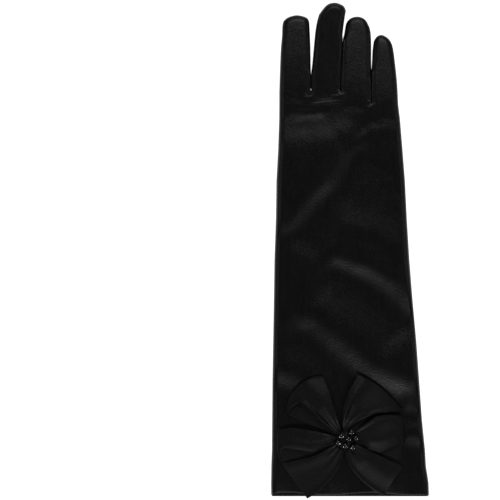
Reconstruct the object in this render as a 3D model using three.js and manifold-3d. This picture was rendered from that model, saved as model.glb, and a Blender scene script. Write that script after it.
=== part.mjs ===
// A long satin dress glove for the right hand, lying flat with the back of the hand up.
// Millimetres. Fingers point along +Y, the back of the hand faces +Z, and the underside lies on z = 0.
// The walls are cloth, about 1 to 2 mm thick here, and the arm, hand, fingers and thumb are hollow.
import * as THREE from "three";
import { mergeVertices } from "three/addons/utils/BufferGeometryUtils.js";
import Module from "manifold-3d";

const wasm = await Module();
wasm.setup();

// Cloth and the small gap kept between neighbouring pieces
const WALL = 1.1;
const HEM_WALL = 2.1;
const RIBBON = 1.1;
const GAP = 0.3;
const MERGE_DISTANCE = 1e-4;

// Height of the flattened tubes and the shape of their cross-section
const ARM_HEIGHT = 12;
const FINGER_HEIGHT = 11.6;
const THUMB_HEIGHT = 3.2;
const EDGE_SHARE = 0.38;
const TOP_POWER = 3;
const BOTTOM_POWER = 4;
const EVEN_SHARE = 0.4;
const FLAT_SHARE = 0.97;

// Lengths along the arm
const HEM_Y = -192.6;
const CUFF_Y = -209.5;
const HEM_ROWS = [-198, -204];
const UPPER_LAYER_SET_BACK = 2.4;
const CUFF_WAVE = { height: 0.8, length: 17 };
const THROUGH = 3;
const PALM_END_Y = 120;
const WEB_Y = 131;
const WEB_BEND_Y = 90;
const WEB_DROP = 8;
const FINGER_ROOT_Y = 102;

// Rows of sections along the arm: how many up to each height along Y, and the share of them used inside
const ROW_SPANS = [
  { to: -120, rows: 5 },
  { to: -10, rows: 11 },
  { to: PALM_END_Y, rows: 15 },
];
const INNER_ROW_SHARE = 0.6;

// The last rows, where the hand rounds down to the web between the fingers
const WEB_ROWS = [
  { share: 0.6, height: 0.92 },
  { share: 1, height: 0.6 },
];

// Sides of the cross-sections, outside and inside
const OUTER_SIDES = 26;
const INNER_SIDES = 18;
const UPPER_SIDES_SHARE = 0.54;
const FINGER_SIDES = 14;
const FINGER_INNER_SIDES = 10;

// Edges of the flat arm and palm at some heights along Y
const ARM = [
  { y: -209.5, left: -66.7, right: 67.3 },
  { y: -190, left: -66.6, right: 66.2 },
  { y: -160, left: -66, right: 63.2 },
  { y: -94, left: -65.2, right: 58.1 },
  { y: -26, left: -64.1, right: 52 },
  { y: 42, left: -62.3, right: 48 },
  { y: 94, left: -60.4, right: 44.4 },
  { y: 131, left: -59.8, right: 42 },
];

// Edges of each flat finger at its root and where its tip starts to round, how far the tip reaches,
// the length over which it rounds, and where across the finger it ends
const ROOT_EDGE_Y = 130;
const FINGERS = [
  {
    name: "index",
    rootLeft: -59.8, rootRight: -33, tipLeft: -56.6, tipRight: -34,
    tipY: 199.8, run: 7, apex: -46,
  },
  {
    name: "middle",
    rootLeft: -32.2, rootRight: -6.4, tipLeft: -25.4, tipRight: -3.4,
    tipY: 210, run: 9, apex: -14,
  },
  {
    name: "ring",
    rootLeft: -5.6, rootRight: 18.4, tipLeft: -2.4, tipRight: 17.4,
    tipY: 197.5, run: 8, apex: 6.8,
  },
  {
    name: "little",
    rootLeft: 19.2, rootRight: 42, tipLeft: 19.4, tipRight: 36.4,
    tipY: 182.2, run: 8, apex: 26.8,
  },
];
const FINGER_ROW_SHARES = [0, 0.09, 0.18, 0.3, 0.52, 0.76, 1];
const TIP_ROWS = 3;
const ROOT_TUCK = 2;
const ROOT_DROP = 1;
const TIP = { narrower: 0.45, lower: 0.5 };

// Where neighbouring fingers part, and the strips sewn between them
const CROTCHES = [
  { name: "index_middle", x: -32.6, y: 131 },
  { name: "middle_ring", x: -6, y: 129.5 },
  { name: "ring_little", x: 18.8, y: 122.5 },
];
const STRIP_WIDTH = 3.5;
const STRIP_TIP_DROP = 11;
const STRIP_TAPER = 8;
const STRIP_HEEL = 6;
const STRIP_NOTCH = 8;
const STRIP_OUTWARD = 1.2;
const ALL_HEIGHTS = { low: -2, high: 40 };

// The thumb lies pressed flat under the palm: its two long edges from the root to the tip,
// its height there, and the oval mouth sewn to the palm
const THUMB_EDGES = [
  { leftX: -57.4, leftY: 86, rightX: -55.4, rightY: 38, height: 2.4 },
  { leftX: -56, leftY: 92, rightX: -53, rightY: 30, height: 3 },
  { leftX: -47, leftY: 94, rightX: -43, rightY: 41.5, height: THUMB_HEIGHT },
  { leftX: -36, leftY: 96.4, rightX: -30, rightY: 56.5, height: THUMB_HEIGHT },
  { leftX: -24, leftY: 99, rightX: -17, rightY: 71.5, height: THUMB_HEIGHT },
  { leftX: -12.6, leftY: 101.6, rightX: -4.5, rightY: 86, height: 3 },
  { leftX: -9, leftY: 103, rightX: -3, rightY: 91, height: 2.4 },
];
const THUMB_WALL = 1;
const THUMB_SIDES = 16;
const THUMB_INNER_SIDES = 14;
const THUMB_TIP_SHARE = 0.3;
const MOUTH = { x: -46.4, y: 65, across: 8.8, along: 24, sides: 22 };
const COLLAR_FOOT = 1.7;
const COLLAR_RISE = 2.2;
const PALM_HOLE_RISE = 4;

// The palm rides up over the thumb, level over its plan and then down a ramp
const THUMB_PLAN = [
  [-57.4, 92],
  [-55, 28],
  [-4, 86],
  [-2.6, 91],
  [-9, 103.6],
];
const LIFT = THUMB_HEIGHT + 2 * GAP;
const LIFT_MARGIN = 6;
const LIFT_RAMP = 18;

// Soft folds on the upper layer: a path in plan, its rise (below zero for a valley) and its half width
const FOLDS = [
  { name: "thumb_edge", rise: 1.2, width: 7, path: [[10.6, 93.5], [-52, 14]] },
  { name: "beside_thumb", rise: -0.6, width: 5, path: [[17, 110], [-14, 64]] },
  { name: "back_of_hand", rise: 1, width: 14, path: [[-46, 102], [-18, 100]] },
  { name: "wrist_valley", rise: -0.6, width: 5.5, path: [[-18, 5], [21, -3], [45, -14]] },
  { name: "wrist_ridge", rise: 2, width: 8.5, path: [[-18, -8], [11, -16], [31, -27], [46, -43]] },
  { name: "elbow", rise: 2, width: 8, path: [[-40, -56], [-23, -68], [-6, -85], [14, -102], [45, -111]] },
  { name: "arm_bump_left", rise: 1, width: 9, path: [[-54, -112], [-48, -114]] },
  { name: "knuckle_left", rise: -0.5, width: 4, path: [[-58, 122], [-42, 118], [-22, 118], [-10, 123]] },
  { name: "knuckle_right", rise: -0.5, width: 4, path: [[-10, 123], [17, 120], [23, 113], [43, 111]] },
];

// The bow: ribbon lobes fanned round a middle, by angle in plan, with the reach at both corners and halfway
const BOW = { x: -3.8, y: -161.5, start: 12, clear: 0.55 };
const LOBES = [
  { name: "loop_upper_left", from: 109, to: 143, reach: [57.8, 60.5, 54], crest: 8.5, folds: 1, loop: true },
  { name: "loop_lower_left", from: 146, to: 196, reach: [52.5, 55.5, 56.5], crest: 7, folds: 2, loop: true },
  { name: "tail_left", from: 198.5, to: 237, reach: [57, 55.5, 59], crest: 3.2, folds: 1, loop: false },
  { name: "tail_right", from: 303, to: 335, reach: [57.5, 54, 54.5], crest: 3.2, folds: 1, loop: false },
  { name: "loop_lower_right", from: 337.5, to: 383, reach: [53.8, 50.2, 52], crest: 7, folds: 2, loop: true },
  { name: "loop_upper_right", from: 387, to: 442, reach: [54.4, 54, 57.6], crest: 8.5, folds: 2, loop: true },
];
const LOBE_STATIONS = 8;
const LOBE_STEPS = 6;
const LOOP = { peak: 0.6, atKnot: 0.5, pleat: 0.2, leastHalf: 0.1, bend: 1.3 };
const TAIL_FLATTER_OUT = 0.6;
const KNOT = { across: 10.6, along: 9.8, height: 6.4, sides: 24, levels: 4, flatTop: 0.93 };
const KNOT_RIBS = { count: 8, depth: 0.07 };
const BEAD = { radius: 2.7, around: 12, up: 7 };
const BEAD_REST_SHARES = [0, 0.25, 0.5, 0.75];
const BEADS = [
  { x: 1.5, y: -154.9 },
  { x: -7.1, y: -158.3 },
  { x: -1.1, y: -160.7 },
  { x: 5, y: -160 },
  { x: -9.9, y: -163.9 },
  { x: -3.9, y: -166.5 },
  { x: 2.5, y: -167.9 },
];

const { lerp, clamp, smoothstep, degToRad } = THREE.MathUtils;

// Shortest distance in plan from a point to a path of straight runs
function distanceToPath(x, y, path) {
  let nearest = Infinity;
  for (let i = 1; i < path.length; i++) {
    const [ax, ay] = path[i - 1];
    const [bx, by] = path[i];
    const length = Math.hypot(bx - ax, by - ay);
    const along = clamp(((x - ax) * (bx - ax) + (y - ay) * (by - ay)) / length ** 2, 0, 1);
    nearest = Math.min(nearest, Math.hypot(x - lerp(ax, bx, along), y - lerp(ay, by, along)));
  }
  return nearest;
}

// How far outside the thumb's plan a point is: below zero inside
function distanceOutsideThumb(x, y) {
  return Math.max(
    ...THUMB_PLAN.map(([ax, ay], i) => {
      const [bx, by] = THUMB_PLAN[(i + 1) % THUMB_PLAN.length];
      return ((x - ax) * (by - ay) - (y - ay) * (bx - ax)) / Math.hypot(bx - ax, by - ay);
    }),
  );
}

function liftAt(x, y) {
  return LIFT * (1 - smoothstep(distanceOutsideThumb(x, y), LIFT_MARGIN, LIFT_MARGIN + LIFT_RAMP));
}

function reliefAt(x, y) {
  return FOLDS.reduce((sum, fold) => {
    return sum + fold.rise * Math.exp(-((distanceToPath(x, y, fold.path) / fold.width) ** 2));
  }, 0);
}

// Left and right edge of the flat arm at one height along Y
function armEdges(y) {
  const last = ARM.length - 1;
  let i = 1;
  while (i < last && ARM[i].y < y) i++;
  const along = (y - ARM[i - 1].y) / (ARM[i].y - ARM[i - 1].y);
  return {
    left: lerp(ARM[i - 1].left, ARM[i].left, along),
    right: lerp(ARM[i - 1].right, ARM[i].right, along),
  };
}

// Height share of a flattened tube's wall at a place across it, from -1 to 1
function riseAt(across, power) {
  return (1 - Math.min(1, Math.abs(across)) ** power) ** (1 / power);
}

// Places across a tube from 1 to -1, closer together towards the edges
function placeAcross(share) {
  return lerp(Math.cos(Math.PI * share), 1 - 2 * share, EVEN_SHARE);
}

// One closed cross-section of a flattened tube, from its right edge over the top to its left edge and back.
// A station has its left and right side in plan and its height, and may bend its points along Y.
function section(station, count, inset, follows) {
  const { left, right, height } = station;
  const half = Math.hypot(right.x - left.x, right.y - left.y) / 2;
  const middle = new THREE.Vector2().addVectors(left, right).multiplyScalar(0.5);
  const sideways = new THREE.Vector2().subVectors(right, left).normalize();
  const edge = height * EDGE_SHARE;
  const upperCount = Math.ceil(count * UPPER_SIDES_SHARE);
  const ring = [];
  for (let k = 0; k < count; k++) {
    const upper = k < upperCount;
    const across = upper
      ? placeAcross(k / upperCount)
      : -placeAcross((k - upperCount) / (count - upperCount));
    const rise = upper ? riseAt(across, TOP_POWER) : Math.min(1, riseAt(across, BOTTOM_POWER) / FLAT_SHARE);
    const x = middle.x + sideways.x * across * (half - inset);
    const flatY = middle.y + sideways.y * across * (half - inset);
    const y = flatY + (station.bend ? station.bend(x, upper ? rise : 0) : 0);
    let z = upper ? edge + (height - inset - edge) * rise : edge - (edge - inset) * rise;
    if (follows) z += liftAt(x, y) + (upper ? reliefAt(x, y) * rise : 0);
    ring.push(new THREE.Vector3(x, y, z));
  }
  return ring;
}

function geometryFrom(points, triangles) {
  const geometry = new THREE.BufferGeometry().setFromPoints(points);
  geometry.setIndex(triangles.flat());
  return geometry;
}

function solidFrom(geometry) {
  const bare = geometry.clone();
  bare.deleteAttribute("normal");
  bare.deleteAttribute("uv");
  const merged = mergeVertices(bare, MERGE_DISTANCE);
  return new wasm.Manifold(
    new wasm.Mesh({
      numProp: 3,
      vertProperties: merged.attributes.position.array,
      triVerts: new Uint32Array(merged.index.array),
    }),
  );
}

function geometryOf(solid) {
  const mesh = solid.getMesh();
  const geometry = new THREE.BufferGeometry();
  geometry.setAttribute("position", new THREE.BufferAttribute(new Float32Array(mesh.vertProperties), 3));
  geometry.setIndex(new THREE.BufferAttribute(new Uint32Array(mesh.triVerts), 1));
  geometry.computeVertexNormals();
  return geometry;
}

// A closed solid through rings of equal count, with a fan on each end.
// The sides' diagonals run along the main fold.
function loft(rings) {
  const count = rings[0].length;
  const points = rings.flat();
  const triangles = [];
  for (let j = 1; j < rings.length; j++) {
    for (let k = 0; k < count; k++) {
      const next = (k + 1) % count;
      const near = (j - 1) * count;
      const far = j * count;
      triangles.push([near + k, far + k, near + next], [far + k, far + next, near + next]);
    }
  }
  for (const [ring, turn] of [[0, 1], [rings.length - 1, -1]]) {
    const centre = points.length;
    const sum = rings[ring].reduce((total, p) => total.add(p), new THREE.Vector3());
    points.push(sum.divideScalar(count));
    for (let k = 0; k < count; k++) {
      const a = ring * count + k;
      const b = ring * count + ((k + 1) % count);
      triangles.push(turn > 0 ? [centre, a, b] : [centre, b, a]);
    }
  }
  return solidFrom(geometryFrom(points, triangles));
}

function tube(stations, count, inset, follows = true) {
  return loft(stations.map((station) => section(station, count, inset, follows)));
}

function station(leftX, leftY, rightX, rightY, height, bend) {
  return { left: new THREE.Vector2(leftX, leftY), right: new THREE.Vector2(rightX, rightY), height, bend };
}

function armStation(y, height, bend) {
  const { left, right } = armEdges(y);
  return station(left, y, right, y, height, bend);
}

// The hand ends in a web that lies lower on the little-finger side
function webDrop(x) {
  return -WEB_DROP * smoothstep(x, CROTCHES[1].x, CROTCHES[2].x);
}

// Arm and palm from the hem line to the web between the fingers
function armAndPalm(count, rowShare, inset, startY) {
  const stations = [armStation(startY, ARM_HEIGHT)];
  let from = startY;
  for (const { to, rows } of ROW_SPANS) {
    const steps = Math.ceil(rows * rowShare);
    for (let i = 1; i <= steps; i++) {
      const y = lerp(from, to, i / steps);
      const share = smoothstep(y, WEB_BEND_Y, PALM_END_Y);
      stations.push(armStation(y, ARM_HEIGHT, (x) => webDrop(x) * share));
    }
    from = to;
  }
  for (const { share, height } of WEB_ROWS) {
    const y = lerp(PALM_END_Y, WEB_Y, share) - inset * share;
    stations.push(armStation(y, ARM_HEIGHT * height, webDrop));
  }
  return tube(stations, count, inset);
}

function fingerEdges(finger, y) {
  const along = (y - ROOT_EDGE_Y) / (finger.tipY - finger.run - ROOT_EDGE_Y);
  return {
    left: lerp(finger.rootLeft, finger.tipLeft, along),
    right: lerp(finger.rootRight, finger.tipRight, along),
  };
}

function fingerTube(finger, count, inset) {
  const stations = [];
  const tipStart = finger.tipY - finger.run;
  for (const share of FINGER_ROW_SHARES) {
    const y = lerp(FINGER_ROOT_Y, tipStart, share);
    const { left, right } = fingerEdges(finger, y);
    const tuck = share === 0 ? ROOT_TUCK : 0;
    stations.push(station(left + tuck, y, right - tuck, y, FINGER_HEIGHT - (share === 0 ? ROOT_DROP : 0)));
  }
  for (let i = 1; i <= TIP_ROWS; i++) {
    const share = Math.sin((Math.PI / 2) * (i / TIP_ROWS));
    const y = tipStart + share * (finger.run - inset);
    const { left, right } = fingerEdges(finger, tipStart);
    const narrow = 1 - TIP.narrower * (i / TIP_ROWS) ** 3;
    const height = FINGER_HEIGHT * (1 - TIP.lower * (i / TIP_ROWS) ** 2);
    const middle = lerp((left + right) / 2, finger.apex, (i / TIP_ROWS) ** 2);
    const half = ((right - left) / 2) * narrow;
    stations.push(station(middle - half, y, middle + half, y, height));
  }
  return tube(stations, count, inset);
}

// An upright prism over a closed outline in plan
function prism(outline, { low, high }) {
  const shape = new THREE.Shape(outline.map(([x, y]) => new THREE.Vector2(x, y)));
  const geometry = new THREE.ExtrudeGeometry(shape, { depth: high - low, bevelEnabled: false });
  geometry.translate(0, 0, low);
  return solidFrom(geometry);
}

// Plan of the strip between two fingers: from the crotch up the left side of the right finger,
// back down into the notch, and up and down the right side of the left finger
function stripOutline(crotch, leftFinger, rightFinger, grow) {
  const width = STRIP_WIDTH + grow;
  const leftTop = leftFinger.tipY - STRIP_TIP_DROP;
  const rightTop = rightFinger.tipY - STRIP_TIP_DROP;
  const leftSide = (y) => fingerEdges(leftFinger, y).right;
  const rightSide = (y) => fingerEdges(rightFinger, y).left;
  return [
    [crotch.x, crotch.y - STRIP_HEEL - grow],
    [rightSide(crotch.y) + width, crotch.y + 1],
    [rightSide(rightTop) + width, rightTop - STRIP_TAPER],
    [rightSide(rightTop) - STRIP_OUTWARD, rightTop + grow],
    [(leftSide(crotch.y + STRIP_NOTCH) + rightSide(crotch.y + STRIP_NOTCH)) / 2, crotch.y + STRIP_NOTCH],
    [leftSide(leftTop) + STRIP_OUTWARD, leftTop + grow],
    [leftSide(leftTop) - width, leftTop - STRIP_TAPER],
    [leftSide(crotch.y) - width, crotch.y + 1],
  ];
}

function ovalOutline(grow) {
  const outline = [];
  for (let k = 0; k < MOUTH.sides; k++) {
    const angle = (2 * Math.PI * k) / MOUTH.sides;
    outline.push([
      MOUTH.x + (MOUTH.across + grow) * Math.cos(angle),
      MOUTH.y + (MOUTH.along + grow) * Math.sin(angle),
    ]);
  }
  return outline;
}

function gloveShell() {
  let outer = armAndPalm(OUTER_SIDES, 1, 0, HEM_Y);
  let inner = armAndPalm(INNER_SIDES, INNER_ROW_SHARE, WALL, HEM_Y - THROUGH);
  for (const finger of FINGERS) {
    outer = outer.add(fingerTube(finger, FINGER_SIDES, 0));
    inner = inner.add(fingerTube(finger, FINGER_INNER_SIDES, WALL));
  }
  const palmHole = prism(ovalOutline(GAP), { low: ALL_HEIGHTS.low, high: LIFT + PALM_HOLE_RISE });
  return outer.subtract(inner).subtract(palmHole);
}

function thumbSolid() {
  const stations = THUMB_EDGES.map((e) => station(e.leftX, e.leftY, e.rightX, e.rightY, e.height));
  const inside = stations.slice(1, -1);
  inside.push(shortened(stations.at(-1), stations.at(-2)));
  const collar = prism(ovalOutline(0), { low: COLLAR_FOOT, high: THUMB_HEIGHT + COLLAR_RISE });
  const mouth = prism(ovalOutline(-THUMB_WALL), { low: COLLAR_FOOT, high: ALL_HEIGHTS.high });
  const outer = tube(stations, THUMB_SIDES, 0, false).add(collar);
  const hollow = tube(inside, THUMB_INNER_SIDES, THUMB_WALL, false).add(mouth);
  return outer.subtract(hollow);
}

// The station a wall's thickness short of the tip
function shortened(last, before) {
  return {
    ...last,
    left: last.left.clone().lerp(before.left, THUMB_TIP_SHARE),
    right: last.right.clone().lerp(before.right, THUMB_TIP_SHARE),
  };
}

// The upper layer of the cuff ends a little short of the lower one, in a slight wave
function cuffEdge(x, rise) {
  return rise * (UPPER_LAYER_SET_BACK + CUFF_WAVE.height * Math.sin(x / CUFF_WAVE.length));
}

function cuffHem() {
  const rows = [HEM_Y - GAP, ...HEM_ROWS, CUFF_Y];
  const bent = (y) => (x, rise) => cuffEdge(x, rise) * smoothstep(-y, -HEM_Y, -CUFF_Y);
  const outer = tube(rows.map((y) => armStation(y, ARM_HEIGHT, bent(y))).reverse(), OUTER_SIDES, 0);
  const through = [HEM_Y + THROUGH, ...HEM_ROWS, CUFF_Y - THROUGH];
  const inner = tube(through.map((y) => armStation(y, ARM_HEIGHT)).reverse(), INNER_SIDES, HEM_WALL);
  return outer.subtract(inner);
}

// Height of the upper layer of the arm in plan, for what lies on it
function armTop(x, y) {
  const held = Math.max(y, CUFF_Y);
  const { left, right } = armEdges(held);
  const rise = riseAt((2 * x - left - right) / (right - left), TOP_POWER);
  const edge = ARM_HEIGHT * EDGE_SHARE;
  return edge + (ARM_HEIGHT - edge + reliefAt(x, held)) * rise;
}

function reachOf(lobe, share) {
  const [start, middle, end] = lobe.reach;
  const rest = 1 - share;
  return start * rest * (rest - share) + 4 * middle * share * rest + end * share * (share - rest);
}

// A ribbon lobe as a solid: sections from one side of the ribbon to the other,
// each between two paths of equal count
function ribbonSolid(sections) {
  const count = sections[0].outer.length;
  const points = [];
  const triangles = [];
  for (const { outer, inner } of sections) points.push(...outer, ...inner);
  const at = (j, side, i) => j * 2 * count + side * count + i;
  const quad = (a, b, c, d) => triangles.push([a, b, c], [a, c, d]);
  const last = sections.length - 1;
  for (let j = 0; j < last; j++) {
    for (let i = 0; i < count - 1; i++) {
      quad(at(j, 0, i), at(j, 0, i + 1), at(j + 1, 0, i + 1), at(j + 1, 0, i));
      quad(at(j, 1, i), at(j + 1, 1, i), at(j + 1, 1, i + 1), at(j, 1, i + 1));
    }
    quad(at(j, 0, 0), at(j + 1, 0, 0), at(j + 1, 1, 0), at(j, 1, 0));
    quad(at(j, 0, count - 1), at(j, 1, count - 1), at(j + 1, 1, count - 1), at(j + 1, 0, count - 1));
  }
  for (let i = 0; i < count - 1; i++) {
    quad(at(0, 0, i), at(0, 1, i), at(0, 1, i + 1), at(0, 0, i + 1));
    quad(at(last, 0, i), at(last, 0, i + 1), at(last, 1, i + 1), at(last, 1, i));
  }
  const solid = solidFrom(geometryFrom(points, triangles));
  if (solid.volume() > 0) return solid;
  return solidFrom(geometryFrom(points, triangles.map(([a, b, c]) => [a, c, b])));
}

// Height of a loop over its lower layer: low at the knot, highest past the middle, round at the outer end
function loopHeight(lobe, share, out) {
  const { peak, atKnot, pleat } = LOOP;
  const pleats = 1 - pleat + pleat * Math.cos(2 * Math.PI * lobe.folds * (share - 0.5));
  const rise = lerp(atKnot, 1, smoothstep(out, 0, peak));
  const end = out > peak ? Math.sqrt(Math.max(0, 1 - ((out - peak) / (1 - peak)) ** 2)) : 1;
  return lobe.crest * pleats * rise * end;
}

function lobeSection(lobe, share) {
  const angle = degToRad(lerp(lobe.from, lobe.to, share));
  const reach = reachOf(lobe, share);
  const place = (out, above) => {
    const r = lerp(BOW.start, reach, out);
    const x = BOW.x + r * Math.cos(angle);
    const y = BOW.y + r * Math.sin(angle);
    return new THREE.Vector3(x, y, armTop(x, y) + BOW.clear + above);
  };
  const outer = [];
  const inner = [];
  if (!lobe.loop) {
    for (let i = 0; i <= LOBE_STEPS; i++) {
      const out = i / LOBE_STEPS;
      const wave = lobe.crest * Math.sin(Math.PI * lobe.folds * share) ** 2 * (1 - TAIL_FLATTER_OUT * out);
      outer.push(place(out, wave));
      inner.push(place(out, wave + RIBBON));
    }
    return { outer, inner };
  }
  const inside = 1 - (LOOP.bend * RIBBON) / (reach - BOW.start);
  for (let i = 0; i <= 2 * LOBE_STEPS; i++) {
    const out = Math.sin((Math.PI / 2) * (1 - Math.abs(i / LOBE_STEPS - 1)));
    const upper = Math.sign(i - LOBE_STEPS);
    const half = (loopHeight(lobe, share, out) + RIBBON) / 2;
    const innerHalf = Math.max(LOOP.leastHalf, loopHeight(lobe, share, out * inside) / 2 - RIBBON / 2);
    outer.push(place(out, half + upper * half));
    const innerMiddle = (loopHeight(lobe, share, out * inside) + RIBBON) / 2;
    inner.push(place(out * inside, innerMiddle + upper * innerHalf));
  }
  return { outer, inner };
}

function lobeSolid(lobe) {
  const sections = [];
  for (let j = 0; j < LOBE_STATIONS; j++) sections.push(lobeSection(lobe, j / (LOBE_STATIONS - 1)));
  return ribbonSolid(sections);
}

const knotFoot = armTop(BOW.x, BOW.y) + BOW.clear;

function knotTop(x, y) {
  const out = Math.hypot((x - BOW.x) / KNOT.across, (y - BOW.y) / KNOT.along);
  return knotFoot + KNOT.height * riseAt(out, TOP_POWER);
}

// The gathered middle: a low ribbed dome
function knotSolid() {
  const rings = [];
  for (let level = 0; level <= KNOT.levels; level++) {
    const up = Math.sin((Math.PI / 2) * (level / KNOT.levels) * KNOT.flatTop);
    const wide = riseAt(up, TOP_POWER);
    const ring = [];
    for (let k = 0; k < KNOT.sides; k++) {
      const angle = (-2 * Math.PI * k) / KNOT.sides;
      const rib = 1 - KNOT_RIBS.depth * (1 - up) * (1 + Math.cos(KNOT_RIBS.count * angle));
      ring.push(
        new THREE.Vector3(
          BOW.x + KNOT.across * wide * rib * Math.cos(angle),
          BOW.y + KNOT.along * wide * rib * Math.sin(angle),
          knotFoot + KNOT.height * up,
        ),
      );
    }
    rings.push(ring);
  }
  return loft(rings);
}

// Height of a bead's centre when it rests on the knot
function beadHeight(x, y) {
  let height = 0;
  for (let k = 0; k < BEAD.around; k++) {
    for (const out of BEAD_REST_SHARES) {
      const angle = (2 * Math.PI * k) / BEAD.around;
      const dx = out * BEAD.radius * Math.cos(angle);
      const dy = out * BEAD.radius * Math.sin(angle);
      height = Math.max(height, knotTop(x + dx, y + dy) + BEAD.radius * Math.sqrt(1 - out ** 2));
    }
  }
  return height + GAP;
}

const glove = new THREE.Group();

function addPiece(name, geometry, finish) {
  const mesh = new THREE.Mesh(geometry, new THREE.MeshStandardMaterial(finish));
  mesh.name = name;
  glove.add(mesh);
  return mesh;
}

const SATIN = { color: 0x121214, roughness: 0.4, metalness: 0 };
const GLASS = { color: 0x08080a, roughness: 0.12, metalness: 0 };

let body = gloveShell();
const shell = body;
CROTCHES.forEach((crotch, i) => {
  const strip = prism(stripOutline(crotch, FINGERS[i], FINGERS[i + 1], 0), ALL_HEIGHTS);
  const slot = prism(stripOutline(crotch, FINGERS[i], FINGERS[i + 1], GAP), ALL_HEIGHTS);
  addPiece("fourchette_" + crotch.name, geometryOf(shell.intersect(strip)), SATIN);
  body = body.subtract(slot);
});
addPiece("glove_body", geometryOf(body), SATIN);
addPiece("thumb", geometryOf(thumbSolid()), SATIN);
addPiece("cuff_hem", geometryOf(cuffHem()), SATIN);
for (const lobe of LOBES) addPiece("bow_" + lobe.name, geometryOf(lobeSolid(lobe)), SATIN);
addPiece("bow_knot", geometryOf(knotSolid()), SATIN);
BEADS.forEach(({ x, y }, i) => {
  const sphere = new THREE.SphereGeometry(BEAD.radius, BEAD.around, BEAD.up);
  addPiece("bead_" + (i + 1), sphere, GLASS).position.set(x, y, beadHeight(x, y));
});

export default glove;
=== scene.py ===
"""The looks of a long black satin dress glove for the right hand, lying flat with the back of the hand up.

Lengths are in millimetres until a mesh is made. Fingers point along +Y and the back of the hand faces +Z.
The glove is one grid of cloth from the hem to the fingertips, an upper and a lower layer joined at its edge.
"""

import math

import bpy
import numpy as np
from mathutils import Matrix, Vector
from mathutils.bvhtree import BVHTree


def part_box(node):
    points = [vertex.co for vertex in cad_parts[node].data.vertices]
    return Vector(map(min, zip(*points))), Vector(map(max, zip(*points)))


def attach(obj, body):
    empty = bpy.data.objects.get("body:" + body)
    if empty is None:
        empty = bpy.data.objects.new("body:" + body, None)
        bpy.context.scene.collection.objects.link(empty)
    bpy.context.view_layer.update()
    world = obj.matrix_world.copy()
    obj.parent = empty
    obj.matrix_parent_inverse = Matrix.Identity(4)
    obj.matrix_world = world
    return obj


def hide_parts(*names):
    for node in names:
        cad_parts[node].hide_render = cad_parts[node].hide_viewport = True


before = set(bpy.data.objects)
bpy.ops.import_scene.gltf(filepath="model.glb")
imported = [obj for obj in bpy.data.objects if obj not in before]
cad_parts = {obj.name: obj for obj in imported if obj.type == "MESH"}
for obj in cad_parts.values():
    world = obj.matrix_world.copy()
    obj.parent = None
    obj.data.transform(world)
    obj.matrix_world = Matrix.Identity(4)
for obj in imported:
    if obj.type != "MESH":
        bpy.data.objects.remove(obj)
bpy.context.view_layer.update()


def table(columns, *rows):
    """The rows of a table, each by the names of its columns."""
    return [dict(zip(columns.split(), row)) for row in rows]


# A millimetre in metres, and the gap that is left between layers of cloth
MM = 0.001
GAP = 0.3

# The photograph's frame: its width in pixels, how long one is at the glove's height, and where its middle is
PHOTO_PIXELS = 500
MM_PER_PIXEL = 0.85
FOCUS_HEIGHT = 5
PHOTO_CENTRE_X = -84.6
CAMERA_HEIGHT = 6000
SENSOR = 36

# Thickness of each cloth, and the angle in degrees from which its corners are sharp
CLOTH = 0.6
HEM_CLOTH = 0.45
THUMB_CLOTH = 0.42
RIBBON = 0.45
SHARP_CORNER = 50

# The flattened tubes: their heights, how high their edge lies as a share of that, and the ends of the hem
ARM_HEIGHT = 12
FINGER_HEIGHT = 11.6
THUMB_HEIGHT = 3.2
EDGE_SHARE = 0.38
HEM_Y = -192.6
CUFF_Y = -209.5

# The palm rides up over the thumb: how high, how far past it, and how long it takes to come down
LIFT = THUMB_HEIGHT + 2 * GAP
LIFT_MARGIN = 7.5
LIFT_RAMP = 14

# How far in from the outline the cloth reaches its full height, and how round it is there. Where two fingers
# press on each other it is steeper and joins higher up, as far along Y as each of the three gaps stays shut.
ARM_EDGE = 5.8
FINGER_EDGE = 5.6
ROOT_EDGE = 3.2
PRESSED_EDGE = 2
PRESSED_SHARE = 0.74
PRESSED_UP_TO = [150, 178, 151]
PRESSED_EASE = 9
TOP_POWER = 2.8
BOTTOM_POWER = 4
BOTTOM_HASTE = 1.6

# Where along Y the arm's height and columns turn into the fingers', and how far below the web its edge does
HEIGHT_TURN = (60, 130)
COLUMN_TURN = (60, 118)
EDGE_TURN = 48

# Grid of the cloth: steps between its rows, the fine ones from just above a coarse one, its columns, and how
# finely outlines and paths are drawn
ROW_STEP = 1.9
FINE_STEP = 0.8
FINE_FROM_Y = 99.2
FINGER_STEP = 1.35
FINE_FINGER_LENGTH = 14
FINGER_LENGTH = 70
FINGER_COLUMNS = {"index": 20, "middle": 20, "ring": 18, "little": 18}
EVEN_SHARE = 0.4
OUTLINE_STEPS = 300
BORDER_SKIP = 5
PATH_STEPS = 24

# The strips between the fingers: columns of the grid on each side, how they end, and how deep their seams lie
STRIP_COLUMNS = 3
STRIP_TIP_DROP = 11
STRIP_TAPER = 9
STRIP_TIP_SHARE = 0.3
TONGUE_TAPER = 0.75
SEAM_DEPTH = 0.32

# Edges of the flat arm and hand at some heights along Y
ARM = table(
    "y left right",
    (-209.5, -66.6, 67.6),
    (-198, -66.7, 67.2),
    (-192.6, -66.6, 66.4),
    (-184, -66.5, 65),
    (-170, -66, 64.2),
    (-144.5, -65.8, 61.6),
    (-110.5, -65.5, 59.2),
    (-76.5, -64.9, 56.7),
    (-42.5, -64.3, 53.6),
    (-8.5, -63.8, 50.9),
    (25.5, -62.6, 48.8),
    (59.5, -62.1, 47.1),
    (85, -60.7, 45.1),
    (110.5, -59.8, 43),
    (124, -59.7, 41.4),
    (134, -59.7, 41),
)

# Where the fingers part, from the index's outer side to the little finger's
WEB = [(-59.7, 134), (-32.8, 134.6), (-7.6, 136), (18.4, 126.5), (41.4, 124)]

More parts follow.
